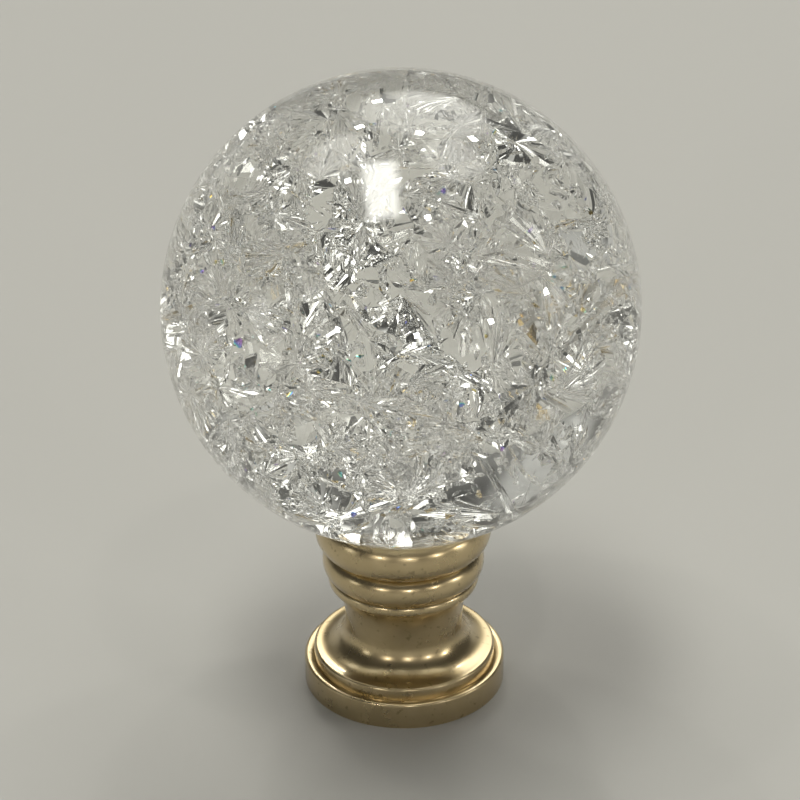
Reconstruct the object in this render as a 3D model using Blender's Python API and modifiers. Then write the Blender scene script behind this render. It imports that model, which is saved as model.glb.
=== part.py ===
"""Lamp shade finial: a solid crackle glass ball glued in the cup of a turned brass base.

Units are metres and +Z is up. The origin is the centre of the base's flat underside.
Both pieces are round about Z. The brass base is one turned piece, and its profile is a
stack: every band stands on the one below, so each band's size can be set by itself.
"""
import math

import bmesh
import bpy

OBJECT_NAME = "lamp_shade_finial"

# Glass ball, a solid sphere
BALL_DIAMETER = 0.0400
BALL_SEGMENTS = 60
BALL_RINGS = 30

# Foot: a plain disc, then a lower step on it
FOOT_DIAMETER = 0.01772
FOOT_THICKNESS = 0.00240
FOOT_EDGE_ROUND = 0.00025
STEP_DIAMETER = 0.01600
STEP_THICKNESS = 0.00105
STEP_EDGE_ROUND = 0.00025
GROOVE_WIDTH = 0.00025
GROOVE_DEPTH = 0.00015

# Cove: sweeps in from the step to the neck and out again to the collar
COVE_RIM_WIDTH = 0.00020
COVE_LOWER_HEIGHT = 0.00230
NECK_DIAMETER = 0.01030
COVE_UPPER_HEIGHT = 0.00400
COVE_TOP_DIAMETER = 0.01260

# Collar: a thin half-round ring under the bead, with a groove between them
COLLAR_DIAMETER = 0.01320
COLLAR_THICKNESS = 0.00105
COLLAR_GROOVE_DIAMETER = 0.01250

# Bead: a fat half-round ring under the cup, with a groove above it
BEAD_DIAMETER = 0.01416
BEAD_THICKNESS = 0.00262
WAIST_DIAMETER = 0.01220

# Cup: rolls out from the groove, rounds in again to the lip, and holds the ball in a round seat
CUP_DIAMETER = 0.01535
CUP_ROLL_HEIGHT = 0.00165
CUP_SHOULDER_HEIGHT = 0.00182
LIP_DIAMETER = 0.01350
LIP_TOP_WIDTH = 0.00010
GLUE_GAP = 0.00030

# Blind tapped hole in the underside; the harp's threaded stud screws into it
HOLE_DIAMETER = 0.00635
HOLE_DEPTH = 0.00800
HOLE_MOUTH_BEVEL = 0.00040
DRILL_POINT_DEG = 118.0

TURNING_STEPS = 54

# Heights of the stack, from the underside up
FOOT_TOP = FOOT_THICKNESS
STEP_TOP = FOOT_TOP + STEP_THICKNESS
NECK_LEVEL = STEP_TOP + COVE_LOWER_HEIGHT
COLLAR_BASE = NECK_LEVEL + COVE_UPPER_HEIGHT
BEAD_BASE = COLLAR_BASE + COLLAR_THICKNESS
WAIST_LEVEL = BEAD_BASE + BEAD_THICKNESS
CUP_WIDEST_LEVEL = WAIST_LEVEL + CUP_ROLL_HEIGHT
LIP_LEVEL = CUP_WIDEST_LEVEL + CUP_SHOULDER_HEIGHT

# The ball sits where its seat, one glue gap larger, meets the inside edge of the lip
SEAT_RADIUS = BALL_DIAMETER / 2 + GLUE_GAP
LIP_INNER_RADIUS = LIP_DIAMETER / 2 - LIP_TOP_WIDTH
BALL_CENTRE = LIP_LEVEL + math.sqrt(SEAT_RADIUS ** 2 - LIP_INNER_RADIUS ** 2)


def arc(centre, radii, start_deg, end_deg, steps):
    """Points along an ellipse arc; angle 0 points out from the axis and 90 points up."""
    points = []
    for step in range(steps + 1):
        angle = math.radians(start_deg + (end_deg - start_deg) * step / steps)
        out = centre[0] + radii[0] * math.cos(angle)
        up = centre[1] + radii[1] * math.sin(angle)
        points.append((out, up))
    return points


def seat_profile():
    """The round seat, from its lowest point on the axis out to the lip's inside edge."""
    edge_deg = math.degrees(math.asin(LIP_INNER_RADIUS / SEAT_RADIUS))
    bottom = arc((0.0, BALL_CENTRE), (SEAT_RADIUS, SEAT_RADIUS), -90, edge_deg - 90, 5)
    return [(0.0, bottom[0][1])] + bottom[1:]


def cup_profile():
    """The cup's outside: the shoulder from the lip down, then the roll to the groove."""
    cup = CUP_DIAMETER / 2
    lip = LIP_DIAMETER / 2
    waist = WAIST_DIAMETER / 2
    shoulder = arc((lip, CUP_WIDEST_LEVEL), (cup - lip, CUP_SHOULDER_HEIGHT), 90, 0, 4)
    roll = arc((waist, CUP_WIDEST_LEVEL), (cup - waist, CUP_ROLL_HEIGHT), 0, -90, 5)
    return shoulder + roll[1:]


def bead_profile():
    """The fat ring, from the groove above it round to the groove below."""
    waist = WAIST_DIAMETER / 2
    groove = COLLAR_GROOVE_DIAMETER / 2
    bead = BEAD_DIAMETER / 2
    middle = BEAD_BASE + BEAD_THICKNESS / 2
    upper = arc((waist, middle), (bead - waist, BEAD_THICKNESS / 2), 90, 0, 5)
    lower = arc((groove, middle), (bead - groove, BEAD_THICKNESS / 2), 0, -90, 5)
    return upper[1:] + lower[1:]


def collar_profile():
    """The thin half-round ring, from the groove above it down to the cove."""
    groove = COLLAR_GROOVE_DIAMETER / 2
    cove_top = COVE_TOP_DIAMETER / 2
    ring = COLLAR_DIAMETER / 2
    middle = COLLAR_BASE + COLLAR_THICKNESS / 2
    upper = arc((groove, middle), (ring - groove, COLLAR_THICKNESS / 2), 90, 0, 3)
    lower = arc((cove_top, middle), (ring - cove_top, COLLAR_THICKNESS / 2), 0, -90, 3)
    return upper[1:] + lower[1:]


def cove_profile():
    """The hollow sweep in to the neck and out to the step's top."""
    top = COVE_TOP_DIAMETER / 2
    neck = NECK_DIAMETER / 2
    rim = STEP_DIAMETER / 2 - STEP_EDGE_ROUND - COVE_RIM_WIDTH
    upper = arc((top, NECK_LEVEL), (top - neck, COVE_UPPER_HEIGHT), 90, 180, 4)
    lower = arc((rim, NECK_LEVEL), (rim - neck, COVE_LOWER_HEIGHT), 180, 270, 8)
    return upper[1:] + lower[1:]


def foot_profile():
    """The step, the fine groove round its foot, and the disc below, with rounded edges."""
    step = STEP_DIAMETER / 2
    foot = FOOT_DIAMETER / 2
    step_edge = arc((step - STEP_EDGE_ROUND, STEP_TOP - STEP_EDGE_ROUND),
                    (STEP_EDGE_ROUND, STEP_EDGE_ROUND), 90, 0, 2)
    foot_edge = arc((foot - FOOT_EDGE_ROUND, FOOT_TOP - FOOT_EDGE_ROUND),
                    (FOOT_EDGE_ROUND, FOOT_EDGE_ROUND), 90, 0, 3)
    groove = [(step, FOOT_TOP - GROOVE_DEPTH), (step + GROOVE_WIDTH, FOOT_TOP)]
    return step_edge + groove + foot_edge + [(foot, 0.0)]


def hole_profile():
    """The tapped hole, from its bevelled mouth up to the drill point on the axis."""
    hole = HOLE_DIAMETER / 2
    point_rise = hole / math.tan(math.radians(DRILL_POINT_DEG / 2))
    return [(hole + HOLE_MOUTH_BEVEL, 0.0), (hole, HOLE_MOUTH_BEVEL),
            (hole, HOLE_DEPTH), (0.0, HOLE_DEPTH + point_rise)]


def material(name, colour, roughness, metallic, transmission=0.0):
    """A Principled material with plain values."""
    made = bpy.data.materials.new(name)
    made.use_nodes = True
    shader = made.node_tree.nodes["Principled BSDF"]
    shader.inputs["Base Color"].default_value = colour
    shader.inputs["Roughness"].default_value = roughness
    shader.inputs["Metallic"].default_value = metallic
    shader.inputs["Transmission Weight"].default_value = transmission
    made.diffuse_color = colour
    return made


def make_object(name, mesh, collection, surface):
    """A named object with its material, in the finial's collection."""
    made = bpy.data.objects.new(name, mesh)
    mesh.materials.append(surface)
    collection.objects.link(made)
    return made


def brass_base(collection):
    """The base: one turned profile, from the seat over the lip and down to the hole."""
    profile = (seat_profile() + cup_profile() + bead_profile() + collar_profile()
               + cove_profile() + foot_profile() + hole_profile())
    mesh = bpy.data.meshes.new("brass_base")
    edges = [(index, index + 1) for index in range(len(profile) - 1)]
    mesh.from_pydata([(out, 0.0, up) for out, up in profile], edges, [])
    brass = material("satin_brass", (0.40, 0.30, 0.15, 1.0), 0.32, 1.0)
    base = make_object("brass_base", mesh, collection, brass)
    turned = base.modifiers.new("turned", "SCREW")
    turned.axis = "Z"
    turned.steps = TURNING_STEPS
    turned.render_steps = TURNING_STEPS
    turned.use_merge_vertices = True
    turned.merge_threshold = 0.00001
    turned.use_smooth_shade = True
    return base


def glass_ball(collection):
    """The ball: a solid sphere, placed by the seat."""
    mesh = bpy.data.meshes.new("glass_ball")
    ball_mesh = bmesh.new()
    bmesh.ops.create_uvsphere(ball_mesh, u_segments=BALL_SEGMENTS, v_segments=BALL_RINGS,
                              radius=BALL_DIAMETER / 2)
    ball_mesh.to_mesh(mesh)
    ball_mesh.free()
    mesh.shade_smooth()
    glass = material("crackle_glass", (0.93, 0.93, 0.92, 1.0), 0.02, 0.0, 1.0)
    ball = make_object("glass_ball", mesh, collection, glass)
    ball.location = (0.0, 0.0, BALL_CENTRE)
    return ball


def clear_scene():
    """Empties the scene of its objects."""
    for old in list(bpy.data.objects):
        bpy.data.objects.remove(old, do_unlink=True)


def build():
    """Makes the finial's two pieces in a collection of its own."""
    clear_scene()
    collection = bpy.data.collections.new(OBJECT_NAME)
    bpy.context.scene.collection.children.link(collection)
    brass_base(collection)
    glass_ball(collection)


build()
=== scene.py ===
import math

import bmesh
import bpy
import numpy as np
from mathutils import Matrix, Vector


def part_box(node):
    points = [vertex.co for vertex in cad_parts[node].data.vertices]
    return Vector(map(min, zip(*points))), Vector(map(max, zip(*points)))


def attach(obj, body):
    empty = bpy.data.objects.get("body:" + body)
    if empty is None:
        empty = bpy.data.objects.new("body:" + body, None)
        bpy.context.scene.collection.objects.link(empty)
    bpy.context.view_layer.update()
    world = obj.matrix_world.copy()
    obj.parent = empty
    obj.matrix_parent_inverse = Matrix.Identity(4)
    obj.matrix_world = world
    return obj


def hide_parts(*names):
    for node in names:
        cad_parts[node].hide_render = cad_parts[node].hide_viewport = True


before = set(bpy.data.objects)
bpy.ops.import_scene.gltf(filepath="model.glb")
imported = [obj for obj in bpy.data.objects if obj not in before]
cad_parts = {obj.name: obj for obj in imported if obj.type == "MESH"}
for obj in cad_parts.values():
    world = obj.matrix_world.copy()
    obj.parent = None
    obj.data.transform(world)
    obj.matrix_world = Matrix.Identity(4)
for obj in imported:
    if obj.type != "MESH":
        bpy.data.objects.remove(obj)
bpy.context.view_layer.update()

scene = bpy.context.scene

# Camera. The finial was photographed by hand from a little above, about 220 mm from the
# middle of the ball, with the ball above the middle of the frame and the camera held a
# touch askew.
ball_low, ball_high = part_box("glass_ball")
BALL_RADIUS = (ball_high[0] - ball_low[0]) / 2
BALL_CENTRE = Vector((0.0, 0.0, (ball_high[2] + ball_low[2]) / 2))
PHOTO_SIDE = 800
BALL_RADIUS_PX = 241
BALL_CENTRE_PX = (401, 309)
CAMERA_DISTANCE = 0.220
CAMERA_HEIGHT_DEG = 25.8
CAMERA_ROLL_DEG = -0.55
SENSOR_WIDTH_MM = 36.0


def place_camera():
    """Sets the camera so that the ball is as large and as high in the frame as in the photo."""
    focal_px = BALL_RADIUS_PX * math.sqrt(CAMERA_DISTANCE ** 2 - BALL_RADIUS ** 2) / BALL_RADIUS
    height = math.radians(CAMERA_HEIGHT_DEG)
    above_middle = math.atan((PHOTO_SIDE / 2 - BALL_CENTRE_PX[1]) / focal_px)
    lens = bpy.data.cameras.new("camera")
    lens.sensor_width = SENSOR_WIDTH_MM
    lens.lens = SENSOR_WIDTH_MM * focal_px / PHOTO_SIDE
    lens.shift_x = (PHOTO_SIDE / 2 - BALL_CENTRE_PX[0]) / PHOTO_SIDE
    lens.clip_start = 0.002
    camera = bpy.data.objects.new("camera", lens)
    scene.collection.objects.link(camera)
    away = Vector((0.0, -math.cos(height), math.sin(height)))
    tilt = Matrix.Rotation(math.pi / 2 - height - above_middle, 4, "X")
    roll = Matrix.Rotation(math.radians(CAMERA_ROLL_DEG), 4, away)
    turned = roll @ tilt
    turned.translation = BALL_CENTRE + away * CAMERA_DISTANCE
    camera.matrix_world = turned
    scene.camera = camera


place_camera()


# Studio. A plain pale floor in a dim room with soft lights: a long one overhead, which
# shows as the bright patch on the ball, broad ones behind and at the sides, and ten small
# lamps, four of them low in front, that spark on the brass and in the cracks.
FLOOR_SIZE = 3.0
FLOOR_COLOUR = (0.305, 0.302, 0.285)
ROOM_TINT = (1.0, 0.995, 0.93)
ROOM_LOW = 0.195
ROOM_HIGH = 0.065
OVERHEAD_TOWARDS = Vector((-0.130, -0.112, 0.985)).normalized()
OVERHEAD_HALF_WIDTH = 0.114
OVERHEAD_HALF_LENGTH = 0.265
OVERHEAD_FADE = 0.10
OVERHEAD_RADIANCE = 15.0
HORIZON_HEIGHTS = (0.02, 0.22)
# Each soft light: its turn from +X and its height, its half width, all in degrees, and
# how bright it is.
SOFT_LIGHTS = ((80, 48, 22, 3.2), (140, 62, 15, 3.2), (35, 66, 14, 3.2), (62, 14, 17, 0.4),
               (122, 14, 17, 0.4), (200, 8, 8, 2.2), (-12, 8, 8, 2.2))
# Each small lamp: its turn from +X and its height.
LAMPS_DEG = ((-120, 14), (-83, 14), (-47, 14), (-15, 14), (97, 40), (112, 56), (50, 52), (75, 64),
             (-60, 66), (178, 70))
LAMP_DISTANCE = 0.90
LAMP_SIZE = 0.040
LAMP_RADIANCE = 110.0
LAMP_TINT = (1.0, 0.96, 0.90)
LAMP_AIM = Vector((0.0, 0.0, 0.030))
MOST_BOUNCES = 32
BRIGHTEST_BOUNCE = 4.0


def plain_material(name, colour, roughness, metallic=0.0, transmission=0.0, ior=1.5):
    """A Principled material with plain values; returns the material and its shader."""
    made = bpy.data.materials.new(name)
    made.use_nodes = True
    shader = made.node_tree.nodes["Principled BSDF"]
    shader.inputs["Base Color"].default_value = (*colour, 1.0)
    shader.inputs["Roughness"].default_value = roughness
    shader.inputs["Metallic"].default_value = metallic
    shader.inputs["Transmission Weight"].default_value = transmission
    shader.inputs["IOR"].default_value = ior
    return made, shader


def way_towards(turn_deg, height_deg):
    """The direction of a light, from its turn from +X and its height."""
    turn, height = math.radians(turn_deg), math.radians(height_deg)
    return Vector((math.cos(turn) * math.cos(height), math.sin(turn) * math.cos(height),
                   math.sin(height)))


def lay_floor():
    """The floor under the finial."""
    mesh = bpy.data.meshes.new("studio_floor")
    sheet = bmesh.new()
    bmesh.ops.create_grid(sheet, x_segments=1, y_segments=1, size=FLOOR_SIZE / 2)
    sheet.to_mesh(mesh)
    sheet.free()
    paper, _ = plain_material("floor_paper", FLOOR_COLOUR, 0.65)
    mesh.materials.append(paper)
    floor = bpy.data.objects.new("studio_floor", mesh)
    scene.collection.objects.link(floor)


def hang_lamp(name, towards):
    """A small square lamp that faces the finial."""
    lamp = bpy.data.lights.new(name, "AREA")
    lamp.size = LAMP_SIZE
    lamp.energy = LAMP_RADIANCE * LAMP_SIZE ** 2 * math.pi
    lamp.color = LAMP_TINT
    hung = bpy.data.objects.new(name, lamp)
    scene.collection.objects.link(hung)
    hung.location = LAMP_AIM + towards * LAMP_DISTANCE
    hung.rotation_euler = towards.to_track_quat("Z", "Y").to_euler()


def room_sum(tree, operation, first, second):
    """A Math node on two values or sockets; returns its result."""
    made = tree.nodes.new("ShaderNodeMath")
    made.operation = operation
    for slot, value in enumerate((first, second)):
        if isinstance(value, (int, float)):
            made.inputs[slot].default_value = value
        else:
            tree.links.new(value, made.inputs[slot])
    return made.outputs[0]


def room_fade(tree, value, start, end, low, high):
    """A smooth change from low to high as the value goes from start to end."""
    made = tree.nodes.new("ShaderNodeMapRange")
    made.interpolation_type = "SMOOTHSTEP"
    for name, number in (("From Min", start), ("From Max", end), ("To Min", low), ("To Max", high)):
        made.inputs[name].default_value = number
    tree.links.new(value, made.inputs["Value"])
    return made.outputs["Result"]


def room_along(tree, looking, way):
    """How far the direction looked in lies along a way."""
    made = tree.nodes.new("ShaderNodeVectorMath")
    made.operation = "DOT_PRODUCT"
    made.inputs[1].default_value = way
    tree.links.new(looking, made.inputs[0])
    return made.outputs["Value"]


def light_room():
    """The room: paler low down, dim above, with the soft lights' glow added."""
    room = bpy.data.worlds.new("dim_room")
    scene.world = room
    room.use_nodes = True
    tree = room.node_tree
    looking = tree.nodes.new("ShaderNodeTexCoord").outputs["Generated"]
    up = room_along(tree, looking, (0.0, 0.0, 1.0))
    total = room_fade(tree, up, *HORIZON_HEIGHTS, ROOM_LOW, ROOM_HIGH)
    for turn, height, half_width, radiance in SOFT_LIGHTS:
        near = room_along(tree, looking, way_towards(turn, height))
        edge = math.cos(math.radians(half_width))
        core = math.cos(math.radians(half_width / 2))
        total = room_sum(tree, "ADD", total, room_fade(tree, near, edge, core, 0.0, radiance))
    side = Vector((0.0, 1.0, 0.0)).cross(OVERHEAD_TOWARDS).normalized()
    length = OVERHEAD_TOWARDS.cross(side)
    ahead = room_along(tree, looking, OVERHEAD_TOWARDS)
    patch = room_fade(tree, ahead, 0.0, 0.05, 0.0, OVERHEAD_RADIANCE)
    for way, half in ((side, OVERHEAD_HALF_WIDTH), (length, OVERHEAD_HALF_LENGTH)):
        off = room_sum(tree, "DIVIDE", room_along(tree, looking, way), ahead)
        off = room_sum(tree, "ABSOLUTE", off, 0.0)
        shade = room_fade(tree, off, half - OVERHEAD_FADE / 2, half + OVERHEAD_FADE / 2, 1.0, 0.0)
        patch = room_sum(tree, "MULTIPLY", patch, shade)
    total = room_sum(tree, "ADD", total, patch)
    glow = tree.nodes["Background"]
    glow.inputs["Color"].default_value = (*ROOM_TINT, 1.0)
    tree.links.new(total, glow.inputs["Strength"])


lay_floor()
light_room()
for number, (lamp_turn, lamp_height) in enumerate(LAMPS_DEG):
    hang_lamp("lamp_%d" % number, way_towards(lamp_turn, lamp_height))
scene.view_settings.view_transform = "Standard"
scene.cycles.max_bounces = MOST_BOUNCES
scene.cycles.transmission_bounces = MOST_BOUNCES
scene.cycles.glossy_bounces = MOST_BOUNCES
scene.cycles.sample_clamp_indirect = BRIGHTEST_BOUNCE


# Brass base. One bar of brass turned on a lathe: foot disc, step, cove, collar, bead and
# cup, then satin finished and lacquered. The underside is drilled and tapped for the
# harp's stud. The profile is the solid's own, with finer steps.
base_low, base_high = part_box("brass_base")
FOOT_RADIUS = base_high[0]
FOOT_TOP = 0.00240
FOOT_EDGE = 0.00025
GROOVE_WIDTH = 0.00025
GROOVE_DEPTH = 0.00015
STEP_RADIUS = 0.00800
STEP_TOP = FOOT_TOP + 0.00105
STEP_EDGE = 0.00025
COVE_RIM = 0.00020
NECK_RADIUS = 0.00515
NECK_LEVEL = STEP_TOP + 0.00230
COVE_TOP_RADIUS = 0.00630
COLLAR_BASE = NECK_LEVEL + 0.00400
COLLAR_RADIUS = 0.00660
BEAD_BASE = COLLAR_BASE + 0.00105
BEAD_FOOT_RADIUS = 0.00625
BEAD_RADIUS = 0.00708
WAIST_RADIUS = 0.00610
WAIST_LEVEL = BEAD_BASE + 0.00262
CUP_RADIUS = 0.007675
CUP_ROLL_TOP = WAIST_LEVEL + 0.00165
LIP_RADIUS = 0.00675
LIP_LEVEL = CUP_ROLL_TOP + 0.00182
LIP_INNER_RADIUS = LIP_RADIUS - 0.00010
HOLE_RADIUS = 0.003175
HOLE_DEPTH = 0.00800
HOLE_BEVEL = 0.00040
DRILL_POINT_DEG = 118.0
THREAD_PITCH = 0.0254 / 27
THREAD_DEPTH = 0.54 * THREAD_PITCH
THREAD_ROWS_A_PITCH = 8
TURNING_STEPS = 144
SHARP_EDGE_DEG = 38


def arc(centre, radii, start_deg, end_deg, steps):
    """Points along an ellipse arc; angle 0 points out from the axis and 90 points up."""
    points = []
    for step in range(steps + 1):
        angle = math.radians(start_deg + (end_deg - start_deg) * step / steps)
        points.append((centre[0] + radii[0] * math.cos(angle),
                       centre[1] + radii[1] * math.sin(angle)))
    return points


def base_profile():
    """The turned outline, from the seat's middle over the lip and down to the foot's edge."""
    rest = BALL_CENTRE.z
    seat = math.hypot(LIP_INNER_RADIUS, rest - LIP_LEVEL)
    edge_deg = math.degrees(math.asin(LIP_INNER_RADIUS / seat))
    middle = BEAD_BASE + (WAIST_LEVEL - BEAD_BASE) / 2
    half = (WAIST_LEVEL - BEAD_BASE) / 2
    ring = (COLLAR_BASE + BEAD_BASE) / 2
    rim = STEP_RADIUS - STEP_EDGE - COVE_RIM
    outline = arc((0.0, rest), (seat, seat), -90, edge_deg - 90, 14)
    outline += arc((LIP_RADIUS, CUP_ROLL_TOP), (CUP_RADIUS - LIP_RADIUS, LIP_LEVEL - CUP_ROLL_TOP),
                   90, 0, 14)
    outline += arc((WAIST_RADIUS, CUP_ROLL_TOP),
                   (CUP_RADIUS - WAIST_RADIUS, CUP_ROLL_TOP - WAIST_LEVEL), 0, -90, 18)[1:]
    outline += arc((WAIST_RADIUS, middle), (BEAD_RADIUS - WAIST_RADIUS, half), 90, 0, 12)[1:]
    outline += arc((BEAD_FOOT_RADIUS, middle), (BEAD_RADIUS - BEAD_FOOT_RADIUS, half), 0, -90, 12)[1:]
    outline += arc((BEAD_FOOT_RADIUS, ring), (COLLAR_RADIUS - BEAD_FOOT_RADIUS, BEAD_BASE - ring),
                   90, 0, 7)[1:]
    outline += arc((COVE_TOP_RADIUS, ring), (COLLAR_RADIUS - COVE_TOP_RADIUS, BEAD_BASE - ring),
                   0, -90, 7)[1:]
    outline += arc((COVE_TOP_RADIUS, NECK_LEVEL),
                   (COVE_TOP_RADIUS - NECK_RADIUS, COLLAR_BASE - NECK_LEVEL), 90, 180, 18)[1:]
    outline += arc((rim, NECK_LEVEL), (rim - NECK_RADIUS, NECK_LEVEL - STEP_TOP), 180, 270, 22)[1:]
    outline += arc((STEP_RADIUS - STEP_EDGE, STEP_TOP - STEP_EDGE),
                   (STEP_EDGE, STEP_EDGE), 90, 0, 6)
    outline += [(STEP_RADIUS, FOOT_TOP - GROOVE_DEPTH), (STEP_RADIUS + GROOVE_WIDTH, FOOT_TOP)]
    outline += arc((FOOT_RADIUS - FOOT_EDGE, FOOT_TOP - FOOT_EDGE), (FOOT_EDGE, FOOT_EDGE), 90, 0, 6)
    outline += [(FOOT_RADIUS, FOOT_TOP / 2), (FOOT_RADIUS, 0.0), (HOLE_RADIUS + HOLE_BEVEL, 0.0)]
    return outline


def thread_depth(up, turn):
    """How far the thread stands in from the hole's wall, at a height and a share of a turn."""
    along = (up / THREAD_PITCH - turn) % 1.0
    ridge = 1.0 - abs(2.0 * along - 1.0)
    run_in = min(1.0, max(0.0, (up - HOLE_BEVEL) / THREAD_PITCH))
    run_out = min(1.0, max(0.0, (HOLE_DEPTH - up) / THREAD_PITCH))
    return THREAD_DEPTH * min(1.0, 1.25 * ridge) * run_in * run_out


def turn_base():
    """The base's mesh: the outline swept round, then the threaded hole and its drill point."""
    outline = base_profile()
    rows = round((HOLE_DEPTH - HOLE_BEVEL) / THREAD_PITCH * THREAD_ROWS_A_PITCH)
    hole_rows = [HOLE_BEVEL + (HOLE_DEPTH - HOLE_BEVEL) * row / rows for row in range(rows + 1)]
    point_rise = HOLE_RADIUS / math.tan(math.radians(DRILL_POINT_DEG / 2))
    solid = bmesh.new()
    bands = []
    for out, up in outline[1:]:
        bands.append([(out, up)] * TURNING_STEPS)
    for up in hole_rows:
        bands.append([(HOLE_RADIUS - thread_depth(up, step / TURNING_STEPS), up)
                      for step in range(TURNING_STEPS)])
    spokes = [(math.cos(2 * math.pi * step / TURNING_STEPS),
               math.sin(2 * math.pi * step / TURNING_STEPS)) for step in range(TURNING_STEPS)]
    rings = [[solid.verts.new((out * spoke[0], out * spoke[1], up))
              for (out, up), spoke in zip(band, spokes)] for band in bands]
    seat_middle = solid.verts.new((0.0, 0.0, outline[0][1]))
    drill_tip = solid.verts.new((0.0, 0.0, HOLE_DEPTH + point_rise))
    for step in range(TURNING_STEPS):
        after = (step + 1) % TURNING_STEPS
        solid.faces.new((seat_middle, rings[0][step], rings[0][after]))
        solid.faces.new((drill_tip, rings[-1][after], rings[-1][step]))
        for upper, lower in zip(rings, rings[1:]):
            solid.faces.new((upper[step], lower[step], lower[after], upper[after]))
    mesh = bpy.data.meshes.new("turned_base")
    solid.normal_update()
    solid.to_mesh(mesh)
    solid.free()
    mesh.shade_smooth()
    mesh.set_sharp_from_angle(angle=math.radians(SHARP_EDGE_DEG))
    return mesh


def node(tree, kind, **values):
    """A new shader node with its named sockets set."""
    made = tree.nodes.new(kind)
    for name, value in values.items():
        made.inputs[name.replace("_", " ")].default_value = value
    return made


def satin_brass():
    """Satin brass under clear lacquer: fine lathe lines, a cloudy tone and a few dark specks."""
    made, shader = plain_material("satin_brass", (0.42, 0.33, 0.17), 0.30, metallic=1.0)
    shader.inputs["Coat Weight"].default_value = 0.6
    shader.inputs["Coat Roughness"].default_value = 0.10
    tree = made.node_tree
    link = tree.links.new
    place = tree.nodes.new("ShaderNodeTexCoord")
    lathe = node(tree, "ShaderNodeMapping", Scale=(60.0, 60.0, 14000.0))
    lines = node(tree, "ShaderNodeTexNoise", Scale=1.0, Detail=3.0)
    link(place.outputs["Object"], lathe.inputs["Vector"])
    link(lathe.outputs["Vector"], lines.inputs["Vector"])
    clouds = node(tree, "ShaderNodeTexNoise", Scale=260.0, Detail=4.0, Roughness=0.6)
    link(place.outputs["Object"], clouds.inputs["Vector"])
    tint = tree.nodes.new("ShaderNodeValToRGB")
    tint.color_ramp.elements[0].position = 0.30
    tint.color_ramp.elements[0].color = (0.52, 0.410, 0.228, 1.0)
    tint.color_ramp.elements[1].position = 0.70
    tint.color_ramp.elements[1].color = (0.62, 0.500, 0.293, 1.0)
    link(clouds.outputs["Fac"], tint.inputs["Fac"])
    specks = node(tree, "ShaderNodeTexNoise", Scale=1500.0, Detail=2.0)
    link(place.outputs["Object"], specks.inputs["Vector"])
    speck_edge = node(tree, "ShaderNodeMapRange", From_Min=0.64, From_Max=0.74, To_Min=0.0, To_Max=0.4)
    link(specks.outputs["Fac"], speck_edge.inputs["Value"])
    stain = tree.nodes.new("ShaderNodeMix")
    stain.data_type = "RGBA"
    link(speck_edge.outputs["Result"], stain.inputs["Factor"])
    link(tint.outputs["Color"], stain.inputs["A"])
    stain.inputs["B"].default_value = (0.10, 0.065, 0.03, 1.0)
    link(stain.outputs["Result"], shader.inputs["Base Color"])
    sheen = node(tree, "ShaderNodeMapRange", From_Min=0.3, From_Max=0.7, To_Min=0.25, To_Max=0.33)
    link(clouds.outputs["Fac"], sheen.inputs["Value"])
    link(sheen.outputs["Result"], shader.inputs["Roughness"])
    relief = node(tree, "ShaderNodeBump", Strength=1.0, Distance=0.0000012)
    link(lines.outputs["Fac"], relief.inputs["Height"])
    link(relief.outputs["Normal"], shader.inputs["Normal"])
    return made


turned_base = bpy.data.objects.new("turned_base", turn_base())
scene.collection.objects.link(turned_base)
turned_base.data.materials.append(satin_brass())
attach(turned_base, "root")
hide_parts("brass_base")


# Glass ball. A solid ball of clear glass, pressed and polished, glued in the cup. Its skin
# is whole: the cracks stop short of it.
BALL_SPOKES = 160
BALL_BANDS = 80
BALL_TINT = (0.980, 0.985, 0.955)


def polished_glass():
    """Clear glass with the faintest waviness of a polished skin."""
    made, shader = plain_material("polished_glass", BALL_TINT, 0.0, transmission=1.0)
    tree = made.node_tree
    place = tree.nodes.new("ShaderNodeTexCoord")
    waves = node(tree, "ShaderNodeTexNoise", Scale=110.0, Detail=1.0)
    relief = node(tree, "ShaderNodeBump", Strength=1.0, Distance=0.000012)
    tree.links.new(place.outputs["Object"], waves.inputs["Vector"])
    tree.links.new(waves.outputs["Fac"], relief.inputs["Height"])
    tree.links.new(relief.outputs["Normal"], shader.inputs["Normal"])
    return made


def press_ball():
    """The ball's mesh, as large as its solid: bands of corners, and one at the top and bottom."""
    globe = bmesh.new()
    turns = [2 * math.pi * spoke / BALL_SPOKES for spoke in range(BALL_SPOKES)]
    downs = [math.pi * band / BALL_BANDS for band in range(1, BALL_BANDS)]
    bands = [[globe.verts.new((BALL_RADIUS * math.sin(down) * math.cos(turn),
                               BALL_RADIUS * math.sin(down) * math.sin(turn),
                               BALL_RADIUS * math.cos(down))) for turn in turns] for down in downs]
    top = globe.verts.new((0.0, 0.0, BALL_RADIUS))
    bottom = globe.verts.new((0.0, 0.0, -BALL_RADIUS))
    for spoke in range(BALL_SPOKES):
        after = (spoke + 1) % BALL_SPOKES
        globe.faces.new((top, bands[0][spoke], bands[0][after]))
        globe.faces.new((bottom, bands[-1][after], bands[-1][spoke]))
        for upper, lower in zip(bands, bands[1:]):
            globe.faces.new((upper[spoke], lower[spoke], lower[after], upper[after]))
    mesh = bpy.data.meshes.new("polished_ball")
    globe.normal_update()
    globe.to_mesh(mesh)
    globe.free()
    mesh.shade_smooth()
    return mesh


polished_ball = bpy.data.objects.new("polished_ball", press_ball())
scene.collection.objects.link(polished_ball)
polished_ball.location = BALL_CENTRE
polished_ball.data.materials.append(polished_glass())
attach(polished_ball, "root")
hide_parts("glass_ball")


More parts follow.
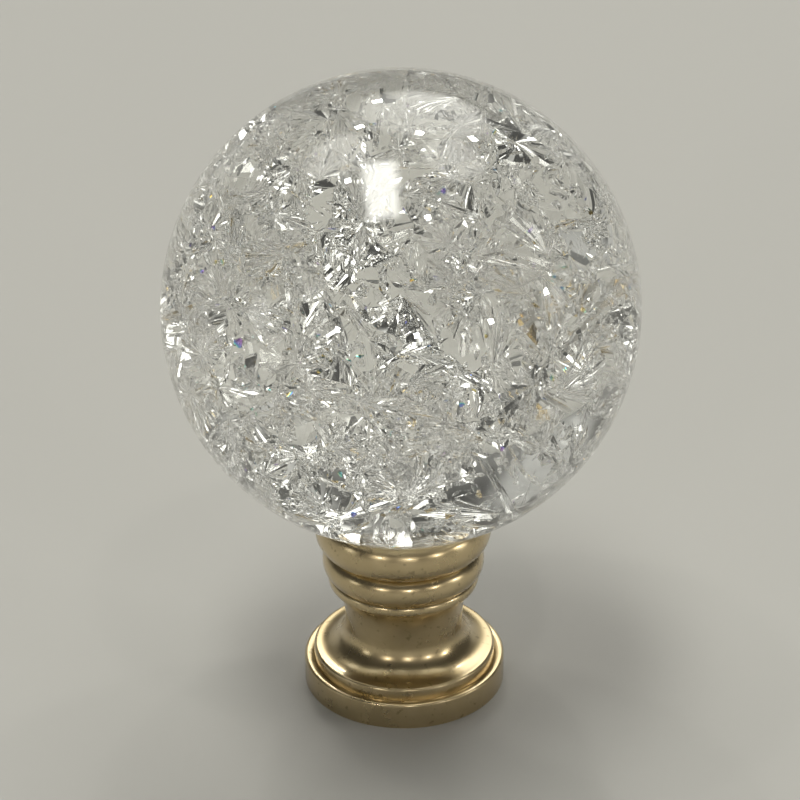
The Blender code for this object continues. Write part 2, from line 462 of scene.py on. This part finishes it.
# Crack walls. The hot ball was quenched and the glass inside broke into cells, with a thin
# curved crack where two cells pulled apart. Each crack is a thin closed hollow of air, whose
# faces look into the air, so the glass round it mirrors and bends light as a real crack does.
CRACK_FREE_SKIN = 0.0009
CRACK_GAP = 0.00003
WALL_CELLS = 500
WALL_SHARE = 0.22
WALL_SEED = 8
WALL_CLEARANCE = 0.97
WALL_RINGS = 3
WALL_BOW = 0.10
WALL_ROOT = (0.3, 0.9)
RIB_WIDTH = (0.00020, 0.00045)
RIB_DEPTH = (0.08, 0.35)
RIB_ANGLE_DEG = 4
WALL_NARROWEST = 0.0005
CELL_NEIGHBOURS = 26
CELL_REACH = 0.008
WARP_DEPTH = 0.00025
WARP_LENGTHS = (0.006, 0.014)
WARP_WAVES = 5
WARP_SEED = 5
HACKLE_LENGTH = 0.0030
HACKLE_DEPTH = 0.0000015
CENTRE = np.array(BALL_CENTRE)


def scatter(dice, count, nearest, farthest):
    """Places spread evenly through the glass between two distances from the ball's middle."""
    ways = dice.normal(0.0, 1.0, (count, 3))
    ways /= np.linalg.norm(ways, axis=1)[:, None]
    reach = dice.uniform(nearest ** 3, farthest ** 3, count) ** (1 / 3)
    return ways * reach[:, None]


def flat_axes(facing, hint=(0.3, 0.5, 0.8)):
    """Two directions that span the plane a crack lies in."""
    across = np.cross(facing, hint)
    across /= np.linalg.norm(across)
    return across, np.cross(facing, across)


def clip(polygon, ahead, side, limit):
    """Cuts a flat polygon back to where ahead * x + side * y stays under the limit."""
    over = [ahead * x + side * y - limit for x, y in polygon]
    kept = []
    for index, (x, y) in enumerate(polygon):
        after = (index + 1) % len(polygon)
        if over[index] <= 0:
            kept.append((x, y))
        if (over[index] < 0) != (over[after] < 0) and over[index] != over[after]:
            share = over[index] / (over[index] - over[after])
            kept.append((x + share * (polygon[after][0] - x), y + share * (polygon[after][1] - y)))
    return kept


def cell_walls(sites):
    """The flat walls between the cells round the sites: middle, facing and polygon of each."""
    walls = []
    for one, site in enumerate(sites):
        away = np.linalg.norm(sites - site, axis=1)
        near = np.argsort(away)[1:CELL_NEIGHBOURS + 1]
        facings = (sites[near] - site) / away[near][:, None]
        for rank, other in enumerate(near):
            if other < one:
                continue
            across, along = flat_axes(facings[rank])
            foot = facings[rank] * away[other] / 2
            limits = away[near] / 2 - facings @ foot
            polygon = [(-CELL_REACH, -CELL_REACH), (CELL_REACH, -CELL_REACH),
                       (CELL_REACH, CELL_REACH), (-CELL_REACH, CELL_REACH)]
            for cutter in range(len(near)):
                if cutter != rank and len(polygon) > 2:
                    polygon = clip(polygon, facings[cutter] @ across, facings[cutter] @ along,
                                   limits[cutter])
            if len(polygon) > 2:
                walls.append((site + foot, facings[rank], np.array(polygon)))
    return walls


def walk_rim(polygon, step):
    """Points along the polygon's edge, one a step."""
    points = []
    for corner, after in zip(polygon, np.roll(polygon, -1, 0)):
        pieces = max(1, round(float(np.linalg.norm(after - corner)) / step))
        points += [corner + (after - corner) * piece / pieces for piece in range(pieces)]
    return np.array(points)


def crack(dice, root, facing, across, rim, bow, pleat, rings):
    """One crack: a bowed sheet from its root out to its rim, pleated in ribs that fan out.

    A lens of air lies between its two faces. Returns its corners, its triangles and, for
    each corner, its place along the hackle.
    """
    along = np.cross(facing, across)
    spokes = len(rim)
    spread = np.hypot(rim[:, 0], rim[:, 1])
    radius = spread.max()
    share = np.arange(1, rings + 1) / rings
    out_u = np.concatenate([[0.0], (share[:, None] * rim[:, 0]).ravel()])
    out_v = np.concatenate([[0.0], (share[:, None] * rim[:, 1]).ravel()])
    reach = np.concatenate([[0.0], np.repeat(share, spokes)])
    swell = dice.uniform(-1.0, 1.0, 2)
    lift = bow * radius * (swell[0] * (out_u / radius) ** 2 + swell[1] * (out_v / radius) ** 2)
    ribs = np.tile(dice.normal(0.0, pleat, spokes), rings)
    lift += np.concatenate([[0.0], ribs]) * reach
    air = CRACK_GAP * (1.0 - reach ** 2)
    flat = CENTRE + root + out_u[:, None] * across + out_v[:, None] * along
    upper = flat + (lift + air / 2)[:, None] * facing
    lower = flat + (lift - air / 2)[:, None] * facing
    count = len(out_u)
    first = np.arange(spokes)
    after = (first + 1) % spokes
    tris = [np.stack([np.zeros(spokes, int), 1 + first, 1 + after], 1)]
    for ring in range(rings - 1):
        inner, outer = 1 + ring * spokes, 1 + (ring + 1) * spokes
        tris.append(np.stack([inner + first, outer + first, outer + after], 1))
        tris.append(np.stack([inner + first, outer + after, inner + after], 1))
    tris = np.vstack(tris)
    under = np.arange(count) + count
    under[count - spokes:] = np.arange(count - spokes, count)
    corners = np.vstack([upper, lower[:count - spokes]])
    hackle = np.stack([np.concatenate([[0.0], np.tile(np.arange(spokes), rings)]),
                       reach * radius / HACKLE_LENGTH], 1) + dice.uniform(0.0, 500.0, 2)
    return (corners, np.vstack([tris[:, ::-1], under[tris]]),
            np.vstack([hackle, hackle[:count - spokes]]))


def warp(corners):
    """Bends all the cracks together in long waves, and keeps them out of the ball's skin."""
    dice = np.random.default_rng(WARP_SEED)
    inside = corners - CENTRE
    bent = inside.copy()
    for _ in range(WARP_WAVES):
        wave = dice.normal(0.0, 1.0, 3)
        wave *= 2 * np.pi / dice.uniform(*WARP_LENGTHS) / np.linalg.norm(wave)
        push = dice.normal(0.0, 1.0, 3)
        push *= WARP_DEPTH / np.linalg.norm(push)
        bent += np.sin(inside @ wave + dice.uniform(0.0, 2 * np.pi))[:, None] * push
    reach = np.linalg.norm(bent, axis=1)
    limit = BALL_RADIUS - CRACK_FREE_SKIN / 2
    bent *= np.minimum(1.0, limit / reach)[:, None]
    return CENTRE + bent


def crack_air(name, hackle_depth):
    """The cracks' faces: plain clear glass with fine hackle that fans out from one side."""
    made, shader = plain_material(name, (1.0, 1.0, 1.0), 0.0, transmission=1.0)
    tree = made.node_tree
    place = tree.nodes.new("ShaderNodeTexCoord")
    hackle = node(tree, "ShaderNodeTexNoise", Scale=1.0, Detail=0.0)
    relief = node(tree, "ShaderNodeBump", Strength=1.0, Distance=hackle_depth)
    tree.links.new(place.outputs["UV"], hackle.inputs["Vector"])
    tree.links.new(hackle.outputs["Fac"], relief.inputs["Height"])
    tree.links.new(relief.outputs["Normal"], shader.inputs["Normal"])
    return made


def seal_in(name, shapes, surface):
    """Joins the shapes into one piece in the glass, which moves with the ball."""
    corners, tris, hackle, start = [], [], [], 0
    for shape_corners, shape_tris, shape_hackle in shapes:
        corners.append(shape_corners)
        tris.append(shape_tris + start)
        hackle.append(shape_hackle)
        start += len(shape_corners)
    mesh = bpy.data.meshes.new(name)
    mesh.from_pydata(warp(np.vstack(corners)).tolist(), [], np.vstack(tris).tolist())
    mesh.shade_smooth()
    mesh.set_sharp_from_angle(angle=math.radians(RIB_ANGLE_DEG))
    corner_of = np.empty(len(mesh.loops), np.int32)
    mesh.loops.foreach_get("vertex_index", corner_of)
    layer = mesh.uv_layers.new(name="hackle")
    layer.data.foreach_set("uv", np.vstack(hackle)[corner_of].astype(np.float32).ravel())
    piece = bpy.data.objects.new(name, mesh)
    scene.collection.objects.link(piece)
    mesh.materials.append(surface)
    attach(piece, "root")


def open_wall(dice, point, facing, polygon, rib_widths):
    """A flat polygon opened as a ribbed crack, clear of the ball's skin; None if too small."""
    limit = BALL_RADIUS - CRACK_FREE_SKIN
    across, along = flat_axes(facing)
    middle = polygon.mean(0)
    start = middle + dice.uniform(*WALL_ROOT) * (polygon[dice.integers(len(polygon))] - middle)
    root = point + start[0] * across + start[1] * along
    step = dice.uniform(*rib_widths)
    rim = (walk_rim(polygon, step) - start) * WALL_CLEARANCE
    ends = root + rim[:, :1] * across + rim[:, 1:] * along
    rim *= np.minimum(1.0, limit / np.linalg.norm(ends, axis=1))[:, None]
    size = np.hypot(rim[:, 0], rim[:, 1]).max()
    if np.linalg.norm(root) > limit - WALL_NARROWEST or len(rim) < 5 or size < WALL_NARROWEST:
        return None
    bow = WALL_BOW * dice.uniform(0.3, 1.0) * dice.choice((-1, 1))
    return crack(dice, root, facing, across, rim, bow, step * dice.uniform(*RIB_DEPTH), WALL_RINGS)


def break_walls(seed, cells, share):
    """Opens a share of the walls between cells as cracks."""
    dice = np.random.default_rng(seed)
    walls = cell_walls(scatter(dice, cells, 0.0, BALL_RADIUS))
    kept = [wall for wall in walls if dice.random() < share]
    shapes = [open_wall(dice, *wall, RIB_WIDTH) for wall in kept]
    return [shape for shape in shapes if shape]


wall_air = crack_air("wall_air", HACKLE_DEPTH)
seal_in("crack_walls", break_walls(WALL_SEED, WALL_CELLS, WALL_SHARE), wall_air)


# Shell splits. Towards its skin the ball cooled fastest and broke finer: short ribbed
# cracks, thickly set, that hide what lies behind them.
SPLITS = 700
SPLIT_SEED = 21
SPLIT_SIZES = (0.0005, 0.0012)
SPLIT_CORNERS = (4, 7)
SPLIT_RIB_WIDTH = (0.00014, 0.00028)
SPLIT_NEAREST = 0.0135
SPLIT_FARTHEST = 0.0190


def split_shell(seed):
    """Small many-cornered ribbed cracks in the outer part of the ball."""
    dice = np.random.default_rng(seed)
    shapes = []
    for place in scatter(dice, SPLITS, SPLIT_NEAREST, SPLIT_FARTHEST):
        facing = dice.normal(0.0, 1.0, 3)
        facing /= np.linalg.norm(facing)
        corners = int(dice.integers(*SPLIT_CORNERS))
        turn = (np.arange(corners) + dice.uniform(-0.3, 0.3, corners)) * 2 * np.pi / corners
        size = dice.uniform(*SPLIT_SIZES) * dice.uniform(0.6, 1.0, corners)
        polygon = np.stack([size * np.cos(turn), size * np.sin(turn)], 1)
        shapes.append(open_wall(dice, place, facing, polygon, SPLIT_RIB_WIDTH))
    return [shape for shape in shapes if shape]


seal_in("shell_splits", split_shell(SPLIT_SEED), wall_air)


# Crack flakes. Small chips of crack, strongly bowed, between the walls: they make the fine
# sparkle all through the ball.
FLAKES = 1100
FLAKE_SEED = 3
FLAKE_SIZES = (0.0002, 0.0006)
FLAKE_SPOKES = 12
FLAKE_RINGS = 3
FLAKE_NEAREST = 0.004
FLAKE_FARTHEST = 0.0185
FLAKE_BOW = 0.2
CHIP_HACKLE_DEPTH = 0.0000015


def chip_flakes(seed, count, sizes, nearest, farthest):
    """Small ragged oval cracks, each with a facing of its own."""
    dice = np.random.default_rng(seed)
    turn = np.linspace(0.0, 2 * np.pi, FLAKE_SPOKES, endpoint=False)
    shapes = []
    for place in scatter(dice, count, nearest, farthest):
        facing = dice.normal(0.0, 1.0, 3)
        facing /= np.linalg.norm(facing)
        across, _ = flat_axes(facing, dice.normal(0.0, 1.0, 3))
        edge = dice.uniform(*sizes) * (1 + 0.2 * np.cos(3 * turn + dice.uniform(0.0, 2 * np.pi)))
        rim = np.stack([edge * np.cos(turn), edge * np.sin(turn) * dice.uniform(0.25, 1.0)], 1)
        shapes.append(crack(dice, place, facing, across, rim, dice.uniform(-1.0, 1.0) * FLAKE_BOW,
                            0.0, FLAKE_RINGS))
    return shapes


chip_air = crack_air("chip_air", CHIP_HACKLE_DEPTH)
flakes = chip_flakes(FLAKE_SEED, FLAKES, FLAKE_SIZES, FLAKE_NEAREST, FLAKE_FARTHEST)
seal_in("crack_flakes", flakes, chip_air)


# Crack feathers. Where a crack ran out it split into fans of thin lances, which catch the
# light as bright strokes side by side.
FEATHERS = 120
FEATHER_SEED = 9
FEATHER_LANCES = (6, 22)
FEATHER_SPREAD = (0.5, 2.6)
FEATHER_REACH = (0.0008, 0.0032)
FEATHER_NEAREST = 0.006
FEATHER_FARTHEST = 0.0192
LANCE_WIDTH = (0.00006, 0.00014)
LANCE_THICKNESS_SHARE = 0.35
LANCE_STATIONS = (0.0, 0.18, 0.42, 0.68, 1.0)
LANCE_WIDTH_SHARES = (0.0, 0.8, 1.0, 0.65, 0.0)


def lance_faces():
    """The triangles of a lance: a point, three rings of four corners and a point."""
    tris = []
    for side in range(4):
        after = (side + 1) % 4
        tris.append((0, 1 + after, 1 + side))
        for ring in (1, 5):
            tris.append((ring + side, ring + after, ring + 4 + after))
            tris.append((ring + side, ring + 4 + after, ring + 4 + side))
        tris.append((9 + side, 9 + after, 13))
    return np.array(tris)


def lance(root, way, side, up, length, width, bow):
    """One thin leaf shaped hollow, from its root along its way."""
    stations = np.array(LANCE_STATIONS)
    spine = CENTRE + root + np.outer(stations * length, way) + np.outer(bow * length * stations ** 2, up)
    corners = [spine[:1]]
    for place, wide in zip(spine[1:4], LANCE_WIDTH_SHARES[1:4]):
        out = wide * width / 2 * side
        rise = wide * width / 2 * LANCE_THICKNESS_SHARE * up
        corners.append(np.array([place + out, place + rise, place - out, place - rise]))
    corners.append(spine[4:])
    return np.vstack(corners), lance_faces(), np.zeros((14, 2))


def spread_feathers(seed):
    """Fans of lances, each in one bowed sheet, with every lance twisted alike."""
    dice = np.random.default_rng(seed)
    limit = BALL_RADIUS - CRACK_FREE_SKIN
    shapes = []
    for place in scatter(dice, FEATHERS, FEATHER_NEAREST, FEATHER_FARTHEST):
        facing = dice.normal(0.0, 1.0, 3)
        facing /= np.linalg.norm(facing)
        middle_way, sideways = flat_axes(facing, dice.normal(0.0, 1.0, 3))
        count = int(dice.integers(*FEATHER_LANCES))
        spread = dice.uniform(*FEATHER_SPREAD)
        reach = dice.uniform(*FEATHER_REACH)
        width = dice.uniform(*LANCE_WIDTH)
        start = dice.uniform(0.0001, 0.0006)
        bow = dice.uniform(-0.35, 0.35)
        twist = dice.uniform(-0.9, 0.9)
        for step in range(count):
            angle = (step / (count - 1) - 0.5) * spread + dice.normal(0.0, 0.03)
            way = math.cos(angle) * middle_way + math.sin(angle) * sideways
            beside = math.cos(angle) * sideways - math.sin(angle) * middle_way
            up = math.cos(twist) * facing + math.sin(twist) * beside
            side = math.cos(twist) * beside - math.sin(twist) * facing
            length = reach * (0.55 + 0.45 * math.cos(angle * 1.4)) * dice.uniform(0.6, 1.0)
            root = place + way * start * dice.uniform(0.6, 1.6)
            wide = width * dice.uniform(0.5, 1.2)
            if max(np.linalg.norm(root), np.linalg.norm(root + way * length)) < limit:
                shapes.append(lance(root, way, side, up, length, wide, bow))
    return shapes


seal_in("crack_feathers", spread_feathers(FEATHER_SEED), chip_air)


# Colour glints. Here and there a crack is no wider than a wavelength of light, and flashes
# yellow, orange, blue or violet. These flashes are painted: small flakes with a mirror's shine,
# sealed in like the rest, whose colour is painted in those hues in place of the split light.
GLINTS = 150
GLINT_SEED = 31
GLINT_SIZES = (0.00010, 0.00028)
GLINT_NEAREST = 0.006
GLINT_FARTHEST = 0.0186
# Painted glint colours: hues put on the mirror flakes in place of the colours that thin cracks split out
# of white light.
PAINTED_GLINT_COLOURS = ((0.0, (0.95, 0.62, 0.10)), (0.38, (0.95, 0.85, 0.45)), (0.5, (0.25, 0.85, 0.80)),
                 (0.62, (0.25, 0.40, 0.95)), (1.0, (0.65, 0.35, 0.90)))


def painted_glint_mirror():
    """A mirror painted with glint colours that change from flake to flake, in place of split light."""
    made, shader = plain_material("painted_glint_mirror", (0.9, 0.8, 0.5), 0.05, metallic=1.0)
    tree = made.node_tree
    place = tree.nodes.new("ShaderNodeTexCoord")
    change = node(tree, "ShaderNodeTexNoise", Scale=900.0, Detail=1.0)
    # The painted glint hue, picked for each flake from the painted glint colours.
    painted_hue = tree.nodes.new("ShaderNodeValToRGB")
    spread = node(tree, "ShaderNodeMapRange", From_Min=0.3, From_Max=0.7)
    painted_hue.color_ramp.elements[0].color = (*PAINTED_GLINT_COLOURS[0][1], 1.0)
    painted_hue.color_ramp.elements[1].color = (*PAINTED_GLINT_COLOURS[-1][1], 1.0)
    for position, colour in PAINTED_GLINT_COLOURS[1:-1]:
        painted_hue.color_ramp.elements.new(position).color = (*colour, 1.0)
    tree.links.new(place.outputs["Object"], change.inputs["Vector"])
    tree.links.new(change.outputs["Fac"], spread.inputs["Value"])
    tree.links.new(spread.outputs["Result"], painted_hue.inputs["Fac"])
    tree.links.new(painted_hue.outputs["Color"], shader.inputs["Base Color"])
    return made


# The glint flakes, each a small mirror painted in one of the glint hues.
glints = chip_flakes(GLINT_SEED, GLINTS, GLINT_SIZES, GLINT_NEAREST, GLINT_FARTHEST)
seal_in("colour_glints", glints, painted_glint_mirror())
